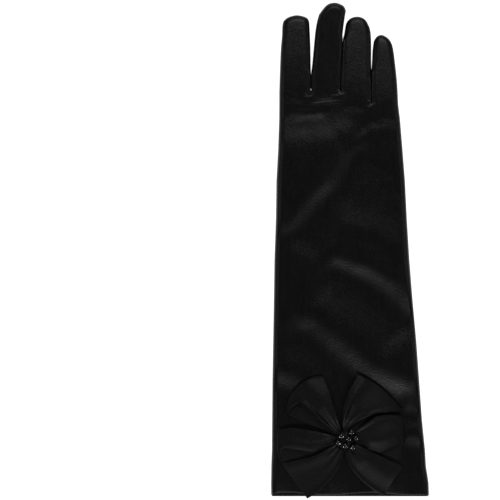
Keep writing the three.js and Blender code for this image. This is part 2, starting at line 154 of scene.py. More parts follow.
# Each finger's outline above the web: up its left side, over the tip and down its right side
FINGER_OUTLINES = {
    "index": {
        "left": [(-59, 156.4), (-58.3, 171.7), (-57.4, 181.9), (-57.1, 190), (-56.3, 194.3)],
        "tip": [(-53.2, 197.2), (-48.9, 198.9), (-44.6, 199.6), (-39.5, 198.7), (-35.6, 196.8)],
        "right": [(-34.2, 193.8), (-33.7, 184.5), (-33.2, 171.7), (-33, 156.4), (-32.75, 148), (-32.7, 138.2),
                  (-32.95, 136.6)],
    },
    "middle": {
        "left": [(-32.65, 136.6), (-32.8, 138.2), (-32.85, 148), (-31.9, 156), (-31.1, 164.1), (-29.2, 184.5),
                 (-27.5, 194.7), (-25.9, 200.2)],
        "tip": [(-22.4, 205), (-18.6, 208.8), (-14, 210.2), (-9.7, 209.8), (-4.8, 207.2)],
        "right": [(-3, 203.4), (-4.1, 197.2), (-5.2, 189.6), (-5.9, 182.5), (-5.8, 178.5), (-6.6, 161.5),
                  (-7.3, 148.8), (-7.5, 140)],
    },
    "ring": {
        "left": [(-7.7, 140), (-7.5, 148.8), (-6.8, 161.5), (-5.7, 178.5), (-4.7, 182.5), (-3.8, 188),
                 (-3, 192.3)],
        "tip": [(-1.2, 195.2), (2, 197.5), (6.6, 198.4), (11.2, 197.3), (14.2, 194.7)],
        "right": [(16.9, 189.6), (18, 184.5), (18.4, 174.3), (18.4, 160), (18.6, 151), (18.6, 144.5),
                  (18.5, 133)],
    },
    "little": {
        "left": [(18.3, 133), (18.4, 144.5), (18.4, 151), (19.1, 160), (19.6, 170), (20.6, 177.4)],
        "tip": [(22.8, 181), (25.6, 182.7), (28.4, 182.6), (31.4, 181), (34.2, 178.5)],
        "right": [(36.2, 174.6), (37.4, 169), (39, 156.4), (40.2, 145), (40.9, 135)],
    },
}
FINGERS = list(FINGER_OUTLINES)
STRIP_NAMES = ["fourchette_index_middle", "fourchette_middle_ring", "fourchette_ring_little"]

# The thumb under the palm: its sides from its root to its tip, and the oval where it opens into the palm
THUMB = table(
    "left right",
    ((-57.4, 86), (-55.4, 38)),
    ((-56, 92), (-53, 30)),
    ((-47, 94), (-43, 41.5)),
    ((-36, 96.4), (-30, 56.5)),
    ((-24, 99), (-17, 71.5)),
    ((-12.6, 101.6), (-4.5, 86)),
    ((-9, 103), (-3, 91)),
)
THUMB_ROWS = 40
THUMB_COLUMNS = 34
THUMB_EDGE = 3
THUMB_PLAN = [(-57.4, 92), (-55, 28), (-4, 86), (-2.6, 91), (-9, 103.6)]
MOUTH = {"x": -46.4, "y": 65, "across": 8.8, "along": 24}
MOUTH_POINTS = 64

# The collar that joins the thumb to the palm: height of its rings, and their size as a share of the mouth's
COLLAR = [(THUMB_HEIGHT - 0.2, 0.99), (THUMB_HEIGHT + 0.3, 0.97), (LIFT + 0.5, 0.97), (LIFT + 1.1, 0.985)]

# Soft steps of the upper layer, which catch the light: how much higher the cloth is on the fingers' side, how
# wide the sloping band is, how far to either side the cloth takes to even out, and the middle of the band
STEPS = table(
    "rise width far path",
    (3.6, 8.6, 46, [(17, 101), (0, 81.6), (-7, 69.7), (-14, 57.8), (-34, 37.4), (-60, 4)]),
    (5.5, 13.5, 36, [(-28, -4), (0, -14), (18, -21), (34, -32), (50, -47), (68, -66)]),
    (1.2, 7, 20, [(-20, 19), (17.4, 11), (30.2, 1.7), (50, -12)]),
    (4.8, 13.8, 32, [(-52, -50), (-28, -68), (-3, -89), (18, -105), (32, -113), (48, -119), (72, -125)]),
    (3.8, 15, 24, [(-84, -107), (-54, -111), (-34, -121)]),
    (2.5, 10, 14, [(41, -135), (96, -141)]),
    (3, 11, 16, [(42, -160), (96, -168)]),
    (-3.2, 18, 26, [(-90, 102), (-34, 100), (-8, 105)]),
    (-0.5, 5, 8, [(-90, 111.5), (-40, 111.5), (-16, 114)]),
    (-0.7, 5.5, 8, [(14, 105), (60, 105)]),
    (-0.5, 5, 7, [(-72, 127), (-36, 122.8), (-16, 124.5), (0, 129)]),
    (0.5, 3.5, 9, [(28, 58), (52, 47)]),
)

# Creases and small ridges of the upper layer: how high, how wide on the left and on the right of their path
FOLDS = table(
    "rise left right path",
    (-0.6, 4, 6, [(20, 116), (8, 100), (-10, 82)]),
    (-0.5, 4, 6, [(-22, 4), (8, -4), (32, -12), (54, -22)]),
    (-0.35, 2.6, 3.4, [(-59, 134), (-50, 132), (-40, 126)]),
    (-0.4, 3, 4, [(-60, 123), (-42, 118), (-22, 118), (-10, 123)]),
    (-0.3, 3, 4, [(-10, 123), (2, 122), (17, 120.5)]),
    (-0.22, 1.8, 2.2, [(22, 112.6), (32, 112), (43, 111)]),
    (0.11, 0.9, 1.3, [(-33, 127.6), (-22, 129.6), (-10, 130.6)]),
    (-0.33, 0.8, 0.8, [(-34, 125.4), (-22, 127.2), (-9, 128.6)]),
    (0.1, 1, 1.2, [(-40, 132.6), (-36, 134), (-32.5, 133)]),
    (-0.36, 0.9, 0.9, [(-40, 130.6), (-36, 132), (-32, 131)]),
    (-0.25, 1.2, 1.4, [(-14.6, 134), (-12, 131.6)]),
    (-0.4, 1.2, 1.2, [(-7.6, 136), (-11.4, 131.6)]),
    (-0.4, 1.2, 1.2, [(18.4, 128), (17.6, 125), (15.2, 121.6)]),
)

# How steep a step is, over what share of its path a step or fold fades in, and over what shares of the full
# height both fade in from the glove's edge
STEP_SLOPE = 1.2
STEP_RUN_OUT = 0.16
FOLD_RUN_OUT = 0.3
FOLD_EDGE = (0.2, 0.9)

# How much higher each finger's tip lies than its root, and the power of the curve that takes it there
TIP_RISE = {"index": (-3.2, 2), "middle": (0.5, 2), "ring": (-4, 1.4), "little": (-3.8, 1.4)}

# Small unevenness of the cloth: height, wavelength and seed
RIPPLES = table(
    "height wavelength seed",
    (0.03, 30, 3),
    (0.012, 8, 8),
)

# The hem: a folded band, whose wavy upper layer stops short of the lower one. Its sides share some of that,
# and the part that is turned in ends at a share of its length.
HEM_THICKNESS = 1.1
UPPER_SET_BACK = 2.4
CUFF_WAVE = {"height": 1.1, "length": 11, "rise": 0.35, "rise_length": 7.5}
MOUTH_DROOP = 0.1
HEM_SIDE_SHARE = 0.4
HEM_INNER_END = 0.04

# The bow: its middle, where its lobes start, and how far they clear the cloth. A lobe's sides are pairs of a
# distance from the middle and an angle in degrees from +X. reach is how far out its end is at one side,
# halfway and at the other, and under the spread of a loop's lower layer. A ridge is its place at the knot and
# at the end as a share of the way across, its height and its width.
BOW = {"x": -3.8, "y": -161.5, "start": 6.5, "clear": 0.5}
LOOPS = {
    "bow_loop_upper_left": {
        "side_a": [(6, 118), (10, 112), (25, 109.7), (42, 108.6), (57.8, 109.4)],
        "side_b": [(6, 141), (25, 141), (38, 139.6), (48, 140.4), (54, 144)],
        "reach": (57.8, 61, 54),
        "under": (110, 156),
        "crest": 6.4,
        "ridges": [(0.93, 0.96, 1.6, 0.08), (0.35, 0.34, 0.8, 0.3)],
    },
    "bow_loop_lower_left": {
        "side_a": [(6, 159), (22, 162.3), (35, 164.6), (48, 167), (57, 172)],
        "side_b": [(6, 172), (9, 175), (17.5, 194), (28.8, 199), (39, 191.3), (51.4, 187), (57, 190)],
        "reach": (57.2, 57.6, 57.8),
        "under": (169, 199.5),
        "crest": 5,
        "ridges": [(0.8, 0.76, 1.2, 0.34)],
    },
    "bow_loop_upper_right": {
        "side_a": [(6, 84), (14.8, 66.5), (24, 50.7), (33.7, 42.4), (42, 34), (54, 27.4)],
        "side_b": [(6, 103), (10.3, 99.5), (18.9, 97.4), (29.8, 91.7), (42.7, 84.6), (51.9, 80.2),
                   (57.2, 78.6)],
        "reach": (54.2, 54, 57.4),
        "under": (29, 80),
        "crest": 6.4,
        "ridges": [(0.86, 0.86, 1.8, 0.12), (0.2, 0.3, 0.35, 0.2), (0.03, 0.02, 0.7, 0.07)],
    },
    "bow_loop_lower_right": {
        "side_a": [(6, 366), (12.7, 360), (21, 339), (29.8, 340.4), (38.7, 351), (49.3, 358)],
        "side_b": [(6, 398), (20, 399), (32, 398), (42, 391), (51, 383.6)],
        "reach": (50.2, 49.8, 52.4),
        "under": (339.6, 382.6),
        "crest": 4.6,
        "ridges": [(0.35, 0.4, 1.7, 0.28), (0.97, 0.97, 0.5, 0.08)],
    },
}
TAILS = {
    "bow_tail_left": {
        "side_a": [(6, 203), (20, 207), (30, 206.4), (43, 202.6), (57.6, 199.8)],
        "side_b": [(6, 266), (10, 261), (22.7, 257), (33.3, 250.6), (45.2, 244.4), (53, 240.4), (58.8, 237)],
        "reach": (57.4, 55.4, 58.9),
        "crest": 1.6,
        "ridges": [(0.14, 0.1, 0.5, 0.16), (0.97, 0.98, 0.5, 0.07)],
    },
    "bow_tail_right": {
        "side_a": [(6, 269), (12.8, 273.4), (21.5, 279.4), (29.3, 286.6), (40.3, 294.8), (51.9, 301.8),
                   (57.2, 305)],
        "side_b": [(6, 340), (14.9, 338.6), (27.8, 336.6), (39.2, 335.8), (49.3, 336), (54.4, 335)],
        "reach": (57.2, 54.2, 54.4),
        "crest": 2.4,
        "ridges": [(0.04, 0.03, 0.9, 0.06), (0.6, 0.6, 1.5, 0.34)],
    },
}

# Height of a loop's upper and lower layer, and of a tail, as a share of its crest, along its way out
UPPER_PROFILE = [(0, 0.55), (0.15, 0.85), (0.35, 1), (0.5, 0.87), (0.65, 0.64), (0.8, 0.4), (0.92, 0.24),
                 (1, 0.15)]
UNDER_PROFILE = [(0, 0.3), (0.12, 0.08), (0.3, 0), (0.85, 0), (0.95, 0.05), (1, 0.16)]
TAIL_PROFILE = [(0, 1), (0.1, 0.9), (0.3, 0.5), (0.6, 0.2), (1, 0)]
PLEATS = {"height": 0.3, "count": 3, "fade": 0.14}

# Grid of a loop or tail: across, out and back, and how its rows crowd towards its end. The upper layer takes
# on the lower one's spread from a share of the way out, and ridges rise near the knot and fade at the end.
LOBE_ACROSS = 64
LOBE_OUT = 46
LOBE_BACK = 26
LOBE_EASE = 1.7
FLARE_FROM = 0.8
RIDGE_START = 0.25
RIDGE_POWER = 6
RIBBON_WIDTH = 45

# The knot: its grid, its ribs, and the powers of the curves that round its side and its top
KNOT = {"rows": 16, "columns": 72, "ribs": 9, "rib_depth": 0.06, "side_power": 0.8, "top_power": 0.9}

# A bead: its grid, the radius of its hole, the bore's width and length as shares of the hole and the bead,
# the bead's length along it, and how far it leans in degrees
BEAD_COUNT = 7
BEAD_SIDES = 40
BEAD_RINGS = 24
BEAD_HOLE = 0.42
BEAD_BORE = (0.8, 0.9)
BEAD_LENGTH = 0.985
BEAD_LEAN = (70, 86)

# The beads' thread: its radius, its bulge, and its way out of the hole and down in shares of a bead's radius
THREAD = {"radius": 0.16, "bulge": 0.25, "inside": 0.8, "outside": 1.06, "foot": 0.9, "drop": 1.15}
THREAD_STEPS = 10

# A stitch: its size, the step to the next one, and how it rises from the cloth. The hem's stitches end short
# of its sides. A thread is a tube, and where it is steep its sides are taken from X.
STITCH = {"length": 1.5, "radius": 0.14, "step": 2.3, "first": 0.2, "rise": 0.12, "sunk": 0.05, "points": 5}
HEM_STITCHES_Y = HEM_Y + 1.2
HEM_STITCHES_END = 5
TUBE_SIDES = 8
STEEP = 0.9

# Satin's darkest and lightest dye as shares of its colour, and how far its roughness strays
SATIN_DARK = (0.8, 0.8, 0.82)
SATIN_LIGHT = (1.25, 1.25, 1.28)
SATIN_STRAY = 0.04

# The soft lights, in metres and watts. Each points at the line X = 0 on the table, at a place along it.
LIGHTS = table(
    "name place aim size power",
    ("key_light", (0.05, -1.5, 1.9), -0.02, (1.8, 0.5), 14.5),
    ("far_light", (0.1, 0.95, 1.5), 0.12, (0.9, 0.6), 3.2),
    ("left_light", (-1, 0.1, 1), 0, (0.4, 1), 0.65),
    ("right_light", (1, 0.1, 1), 0, (0.4, 1), 0.65),
    ("rim_light_left", (-1.1, 0.55, 0.45), 0.15, (0.8, 0.3), 0.25),
    ("rim_light_right", (1.1, 0.55, 0.45), 0.15, (0.8, 0.3), 0.25),
    ("rim_light_far", (0, 1.5, 0.65), 0.2, (1.4, 0.6), 1.6),
)
BEAD_LIGHTS = table(
    "name place aim size power",
    ("bead_light_left", (-1.1, -0.35, 0.45), -0.16, (0.18, 0.18), 11),
    ("bead_light_right", (1.1, -0.35, 0.45), -0.16, (0.18, 0.18), 11),
    ("bead_light_far", (0, 1, 0.3), -0.16, (0.3, 0.3), 3),
)

# The faint light of the sky, and the table: half of its width, and how far below the glove it lies
SKY = {"Color": (0.9, 0.92, 0.95, 1), "Strength": 0.02}
TABLE_HALF = 6000
TABLE_DROP = 0.2


def smooth(values, low, high):
    """0 below low, 1 above high, and a smooth step between them."""
    t = np.clip((np.asarray(values, float) - low) / (high - low), 0, 1)
    return t * t * (3 - 2 * t)


def mix(low, high, share):
    return low + (high - low) * share


def rise_at(share, power):
    """Height share of a pillow of cloth, from 0 at its edge to 1 where it is full."""
    return (1 - (1 - np.clip(share, 0, 1)) ** power) ** (1 / power)


def across_places(count):
    """Places across a tube from 0 to 1, closer together towards its edges."""
    share = np.linspace(0, 1, count + 1)
    return mix((1 - np.cos(np.pi * share)) / 2, share, EVEN_SHARE)


def read_off(pairs, at):
    """The second numbers of a table of pairs, read off at some of its first numbers."""
    return np.interp(at, *zip(*pairs))


def sampled(at, marks, places):
    """Places read off a line at some of the marks along it."""
    return np.column_stack([np.interp(at, marks, column) for column in np.asarray(places).T])


def marks_along(line):
    """How far along a line each of its places lies."""
    return np.concatenate([[0], np.cumsum(np.linalg.norm(np.diff(line, axis=0), axis=1))])


def curve_through(points, steps):
    """A smooth curve through points, as an array of steps + 1 places evenly spaced along it."""
    p = np.array([2 * np.array(points[0]) - points[1], *points, 2 * np.array(points[-1]) - points[-2]], float)
    t = np.linspace(0, 1, PATH_STEPS, endpoint=False)[:, None]
    fine = []
    for a, b, c, d in zip(p[:-3], p[1:-2], p[2:-1], p[3:]):
        bend = (2 * a - 5 * b + 4 * c - d) * t**2 + (3 * b - a - 3 * c + d) * t**3
        fine.append(0.5 * (2 * b + (c - a) * t + bend))
    fine = np.vstack([*fine, p[-2]])
    marks = marks_along(fine)
    return sampled(np.linspace(0, marks[-1], steps + 1), marks, fine)


def place_on(curve, share):
    """Places on an evenly spaced curve, at shares of its length."""
    return sampled(share, np.linspace(0, 1, len(curve)), curve)


def path_distance(xy, path):
    """Signed distance from a path (above zero on its left), the place along it, and its length."""
    best = np.full(len(xy), np.inf)
    signed = np.zeros(len(xy))
    place = np.zeros(len(xy))
    travelled = 0.0
    for a, b in zip(path[:-1], path[1:]):
        step = b - a
        length = np.hypot(*step)
        t = np.clip(((xy - a) @ step) / max(length**2, 1e-9), 0, 1)
        away = xy - (a + t[:, None] * step)
        distance = np.hypot(away[:, 0], away[:, 1])
        nearer = distance < best
        side = step[0] * away[:, 1] - step[1] * away[:, 0]
        best[nearer] = distance[nearer]
        signed[nearer] = np.where(side >= 0, distance, -distance)[nearer]
        place[nearer] = (travelled + t * length)[nearer]
        travelled += length
    return signed, place, travelled


def distance_to(xy, line):
    return np.abs(path_distance(xy, line)[0])


def ripple(xy, seed, wavelength):
    """A smooth uneven field with a spread of about one, from waves in many directions."""
    source = np.random.default_rng(seed)
    total = np.zeros(len(xy))
    waves = 14
    for _ in range(waves):
        angle = source.uniform(0, 2 * np.pi)
        length = wavelength * source.uniform(0.7, 1.5)
        phase = source.uniform(0, 2 * np.pi)
        along = xy[:, 0] * np.cos(angle) + xy[:, 1] * np.sin(angle)
        total += np.cos(2 * np.pi * along / length + phase)
    return total / math.sqrt(waves / 2)


def lift_at(xy):
    """How far the palm rides up over the thumb that lies under it."""
    outside = []
    for (ax, ay), (bx, by) in zip(THUMB_PLAN, THUMB_PLAN[1:] + THUMB_PLAN[:1]):
        cross = (ax - xy[:, 0]) * (by - ay) - (ay - xy[:, 1]) * (bx - ax)
        outside.append(cross / math.hypot(bx - ax, by - ay))
    distance = np.max(outside, axis=0)
    return LIFT * (1 - smooth(distance, LIFT_MARGIN, LIFT_MARGIN + LIFT_RAMP))


def along_path(xy, path, run_out):
    """Signed distance of points from a path, and a weight that fades out towards both of its ends."""
    signed, place, length = path_distance(xy, curve_through(path, PATH_STEPS))
    share = place / length
    return signed, smooth(share, 0, run_out) * smooth(1 - share, 0, run_out)


def folds_at(xy):
    """Height that the steps, the folds and the small unevenness add to the upper layer."""
    total = np.zeros(len(xy))
    for step in STEPS:
        path = step["path"]
        signed, weight = along_path(xy, path, STEP_RUN_OUT)
        up = signed if path[0][0] < path[-1][0] else -signed
        slope = 0.5 * np.tanh(STEP_SLOPE * up / step["width"])
        total += step["rise"] * weight * slope * np.exp(-((up / step["far"]) ** 2))
    for fold in FOLDS:
        signed, weight = along_path(xy, fold["path"], FOLD_RUN_OUT)
        width = np.where(signed >= 0, fold["left"], fold["right"])
        total += fold["rise"] * weight * np.exp(-((signed / width) ** 2))
    for wave in RIPPLES:
        total += wave["height"] * ripple(xy, wave["seed"], wave["wavelength"])
    return total


def arm_edges(y):
    """The left and the right edge of the arm and hand, at heights along Y."""
    heights = [row["y"] for row in ARM]
    return [np.interp(y, heights, [row[side] for row in ARM]) for side in ("left", "right")]


def in_scene(name, data):
    """A new object in the scene, from its data."""
    made = bpy.data.objects.new(name, data)
    bpy.context.scene.collection.objects.link(made)
    return made


def new_object(name, vertices, faces, uv=None):
    """A mesh object from millimetres. uv, where given, is each vertex's place on the flat cloth."""
    mesh = bpy.data.meshes.new(name)
    faces = faces if isinstance(faces, list) else faces.tolist()
    mesh.from_pydata((np.asarray(vertices, float) * MM).tolist(), [], faces)
    mesh.polygons.foreach_set("use_smooth", [True] * len(mesh.polygons))
    if uv is not None:
        layer = mesh.uv_layers.new(name="cloth")
        corners = np.empty(len(mesh.loops), np.int32)
        mesh.loops.foreach_get("vertex_index", corners)
        layer.data.foreach_set("uv", (np.asarray(uv, float)[corners] * MM).ravel())
    mesh.update()
    return in_scene(name, mesh)


def thicken(piece, thickness):
    """Gives a sheet its thickness, inwards from the face that shows."""
    modifier = piece.modifiers.new("cloth", "SOLIDIFY")
    modifier.thickness = thickness * MM
    modifier.offset = -1
    bpy.context.view_layer.update()
    graph = bpy.context.evaluated_depsgraph_get()
    mesh = bpy.data.meshes.new_from_object(piece.evaluated_get(graph))
    piece.modifiers.clear()
    piece.data = mesh
    mesh.name = piece.name
    mesh.set_sharp_from_angle(angle=math.radians(SHARP_CORNER))


def faces_area(vertices, faces):
    """Area of quads, in square metres."""
    p = np.asarray(vertices, float)
    a, b, c, d = np.asarray(faces, int).T
    halves = np.cross(p[b] - p[a], p[c] - p[a]), np.cross(p[c] - p[a], p[d] - p[a])
    return float(sum(np.linalg.norm(half, axis=1) for half in halves).sum() / 2) * MM * MM


def ring_faces(rows, count, first=0):
    """Quads between closed rings of count vertices, numbered ring by ring from first."""
    r, c = np.meshgrid(np.arange(rows), np.arange(count), indexing="ij")
    corner = first + (r * count + c).ravel()
    after = first + (r * count + (c + 1) % count).ravel()
    return np.column_stack([corner, after, after + count, corner + count])


def grid_faces(rows, columns):
    """Quads of a grid numbered row by row: those between rings, without the ones that close them."""
    faces = ring_faces(rows, columns + 1).reshape(rows, columns + 1, 4)
    return faces[:, :-1].reshape(-1, 4)


def turned_over(faces):
    """The same quads, each facing the other way and starting at the same corner."""
    return faces[:, [0, 3, 2, 1]]


class Plan:
    """The glove seen from above as one grid of quads, with its share of full height at every vertex."""

    def __init__(self):
        self.xy = []
        self.rise = []
        self.rim = []
        self.faces = []
        self.labels = []
        self.roots = np.concatenate([[0], np.cumsum(list(FINGER_COLUMNS.values()))])
        self.tips = []
        self.edge_share = []
        self.seams = []
        self.build_arm()
        for number in range(len(FINGERS)):
            self.build_finger(number)
        for name in ("xy", "rise", "rim", "faces", "labels", "tips", "edge_share"):
            setattr(self, name, np.array(getattr(self, name)))

    def add(self, xy, rise, rim, pressed, tip_rise=0.0):
        """Adds a row of vertices, each pressed against a neighbour or not, and returns their numbers."""
        first = len(self.xy)
        self.tips.extend([tip_rise] * len(xy))
        self.edge_share.extend(mix(EDGE_SHARE, PRESSED_SHARE, pressed))
        self.xy.extend(map(tuple, xy))
        self.rise.extend(np.where(rim, 0, rise))
        self.rim.extend(rim)
        return np.arange(first, first + len(xy))

    def add_faces(self, low, high, labels):
        self.faces.extend(zip(low[:-1], low[1:], high[1:], high[:-1]))
        self.labels.extend(labels)

    def web_columns(self):
        """Where each column of the arm meets the web."""
        columns = []
        for number, name in enumerate(FINGERS):
            low, high = np.array(WEB[number]), np.array(WEB[number + 1])
            columns.extend(mix(low, high, share) for share in across_places(FINGER_COLUMNS[name])[:-1])
        return np.array([*columns, WEB[-1]])

    def build_arm(self):
        columns = self.roots[-1]
        web = self.web_columns()
        left, right = arm_edges(web[:, 1])
        at_web = np.clip((web[:, 0] - left) / (right - left), 0, 1)
        at_arm = across_places(columns)
        top = WEB[0][1]
        heights = [*np.arange(HEM_Y, FINE_FROM_Y, ROW_STEP), *np.arange(FINE_FROM_Y, top, FINE_STEP), top]
        rows = []
        for height in heights:
            y = HEM_Y + (web[:, 1] - HEM_Y) * (height - HEM_Y) / (top - HEM_Y)
            left, right = arm_edges(y)
            x = mix(left, right, mix(at_arm, at_web, smooth(y, *COLUMN_TURN)))
            below = web[:, 1] - y
            edge = mix(FINGER_EDGE, ARM_EDGE, smooth(below, 0, EDGE_TURN))
            root = mix(PRESSED_EDGE, ROOT_EDGE, smooth(below, 0, PRESSED_EASE))
            rise = rise_at(np.minimum(x - left, right - x) / edge, TOP_POWER)
            pressed = np.zeros(columns + 1)
            for crotch_x, crotch_y in WEB[1:-1]:
                away = np.hypot(x - crotch_x, y - crotch_y)
                rise = rise * rise_at(away / root, TOP_POWER)
                pressed = np.maximum(pressed, 1 - smooth(away, 0, PRESSED_EASE))
            rim = np.zeros(columns + 1, bool)
            rim[self.roots if height == top else [0, -1]] = True
            rows.append(self.add(np.column_stack([x, y]), rise, rim, pressed))
        for r, (low, high) in enumerate(zip(rows[:-1], rows[1:])):
            rows_below_web = len(rows) - 2 - r
            self.add_faces(low, high, [self.palm_label(rows_below_web, c) for c in range(columns)])
        self.hem_row = rows[0]
        self.web_row = rows[-1]

    def palm_label(self, rows_below_web, column):
        """The strip between two fingers starts in a small tongue below the place where they part."""
        reach = STRIP_COLUMNS - rows_below_web * TONGUE_TAPER
        for label, root in enumerate(self.roots[1:-1], start=1):
            if root - reach <= column < root + reach:
                return label
        return 0

    def build_finger(self, number):
        name = FINGERS[number]
        outline = FINGER_OUTLINES[name]
        count = FINGER_COLUMNS[name]
        start = self.roots[number]
        row = self.web_row[start : start + count + 1]
        base = np.array([self.xy[i] for i in row])
        left = curve_through([WEB[number], *outline["left"]], OUTLINE_STEPS)
        right = curve_through([WEB[number + 1], *outline["right"][::-1]], OUTLINE_STEPS)
        tip = curve_through([outline["left"][-1], *outline["tip"], outline["right"][0]], OUTLINE_STEPS)
        border = np.vstack([left[::BORDER_SKIP], tip[::BORDER_SKIP], right[::-BORDER_SKIP]])
        tip_y = border[:, 1].max()
        places = across_places(count)
        fine, coarse = (0, FINE_FINGER_LENGTH, FINE_STEP), (FINE_FINGER_LENGTH, FINGER_LENGTH, FINGER_STEP)
        steps = np.concatenate([np.arange(*fine), np.arange(*coarse)])
        tip_rise, tip_power = TIP_RISE[name]
        strip_end = tip_y - STRIP_TIP_DROP
        low_seam, high_seam = [], []
        for t in steps[1:] / steps[-1]:
            y = mix(left[0, 1], tip_y, t)
            narrow = 1 - (1 - STRIP_TIP_SHARE) * smooth(y, strip_end - STRIP_TAPER, strip_end)
            s = squeezed(places, narrow)
            share = s[:, None]
            xy = mix(place_on(left, t), place_on(right, t), share)
            xy = xy + (1 - t) * (sampled(s, places, base) - mix(left[0], right[0], share))
            xy = xy + t * (place_on(tip, s) - mix(left[-1], right[-1], share))
            pressed = pressed_at(number, s, y)
            edge = mix(FINGER_EDGE, PRESSED_EDGE, pressed)
            rise = rise_at(distance_to(xy, border) / edge, TOP_POWER)
            rim = np.full(count + 1, t == 1)
            rim[[0, -1]] = True
            above = self.add(xy, rise, rim, pressed, tip_rise * t**tip_power)
            labels = np.zeros(count, int)
            if y < strip_end and number > 0:
                labels[:STRIP_COLUMNS] = number
                low_seam.append(xy[STRIP_COLUMNS])
            if y < strip_end and number < len(FINGERS) - 1:
                labels[-STRIP_COLUMNS:] = number + 1
                high_seam.append(xy[-1 - STRIP_COLUMNS])
            self.add_faces(row, above, labels)
            row = above
        self.seams.extend(np.array(seam) for seam in (low_seam, high_seam) if seam)


def pressed_at(number, across, y):
    """How far a finger is shut against its neighbour, from 0 to 1, at shares across the finger."""
    shut_up_to = [0, *PRESSED_UP_TO, 0]
    top = np.where(across < 0.5, shut_up_to[number], shut_up_to[number + 1])
    return 1 - smooth(y - top, 0, PRESSED_EASE)


def squeezed(places, narrow):
    """Draws the outer columns of a finger, which are its strips, closer to its edges."""
    inner = places[STRIP_COLUMNS]
    pairs = [(0, 0), (inner, inner * narrow), (0.5, 0.5)]
    return np.where(places <= 0.5, read_off(pairs, places), 1 - read_off(pairs, 1 - places))


class Pillow:
    """Two layers of cloth over one plan, joined along its rim."""

    def __init__(self, xy, rim, faces, upper_z, lower_z):
        self.upper_count = count = len(xy)
        inner = np.flatnonzero(~rim)
        self.lower_of = np.arange(count)
        self.lower_of[inner] = count + np.arange(len(inner))
        upper, lower = np.column_stack([xy, upper_z]), np.column_stack([xy, lower_z])
        self.vertices = np.vstack([upper, lower[inner]])
        self.upper_faces = faces
        self.lower_faces = self.lower_of[faces][:, ::-1]


def in_mouth(xy):
    """How far out points lie in the oval where the thumb opens into the palm: 1 on its edge."""
    return np.hypot((xy[:, 0] - MOUTH["x"]) / MOUTH["across"], (xy[:, 1] - MOUTH["y"]) / MOUTH["along"])


def cut_mouth(vertices, faces):
    """Leaves out the faces inside the oval, and draws the vertices round the hole onto its edge."""
    centres = vertices[faces].mean(axis=1)[:, :2]
    inside = in_mouth(centres) < 1
    kept = faces[~inside]
    border = np.intersect1d(np.unique(faces[inside]), np.unique(kept))
    middle = np.array([MOUTH["x"], MOUTH["y"]])
    out = in_mouth(vertices[border, :2])[:, None]
    vertices[border, :2] = middle + (vertices[border, :2] - middle) / out
    return kept


def piece_of(name, vertices, faces, uv, thickness):
    """An object from some faces of a larger mesh, with only the vertices that they use, and its area."""
    used, numbers = np.unique(faces, return_inverse=True)
    made = new_object(name, vertices[used], numbers.reshape(np.shape(faces)), uv[used])
    thicken(made, thickness)
    return made, faces_area(vertices, faces)


def seam_vertices(faces, labels):
    """Vertices where pieces of cloth meet: those of faces with different labels."""
    low = np.full(faces.max() + 1, labels.max())
    high = np.zeros_like(low)
    np.minimum.at(low, faces, labels[:, None])
    np.maximum.at(high, faces, labels[:, None])
    return np.flatnonzero(high > low)


def glove_cloth():
    """The glove's plan and shell, its body, and the strips between its fingers, each piece with its area."""
    plan = Plan()
    xy, rise = plan.xy, plan.rise
    height = mix(ARM_HEIGHT, FINGER_HEIGHT, smooth(xy[:, 1], *HEIGHT_TURN))
    lift = lift_at(xy)
    edge = plan.edge_share * height
    upper = edge + (height + plan.tips - edge) * rise + folds_at(xy) * smooth(rise, *FOLD_EDGE) + lift
    below = rise_at(np.clip(rise * BOTTOM_HASTE, 0, 1), BOTTOM_POWER)
    lower = edge * (1 - below) + lift
    seam = seam_vertices(plan.faces, plan.labels)
    seam = seam[~plan.rim[seam]]
    upper[seam] -= SEAM_DEPTH
    lower[seam] += SEAM_DEPTH
    shell = Pillow(xy, plan.rim, plan.faces, upper, lower)
    uv = shell.vertices[:, :2].copy()
    under = uv[shell.upper_count :]
    under[:, 0] = 2 * arm_edges(under[:, 1])[1] - under[:, 0]
    lower_cut = cut_mouth(shell.vertices, shell.lower_faces[plan.labels == 0])
    body_faces = np.vstack([shell.upper_faces[plan.labels == 0], lower_cut])
    body = piece_of("glove_cloth", shell.vertices, body_faces, uv, CLOTH)
    strips = []
    for label, name in enumerate(STRIP_NAMES, start=1):
        own = plan.labels == label
        strip_faces = np.vstack([shell.upper_faces[own], shell.lower_faces[own]])
        strips.append(piece_of("cloth_" + name, shell.vertices, strip_faces, uv, CLOTH))
    return plan, shell, body, strips


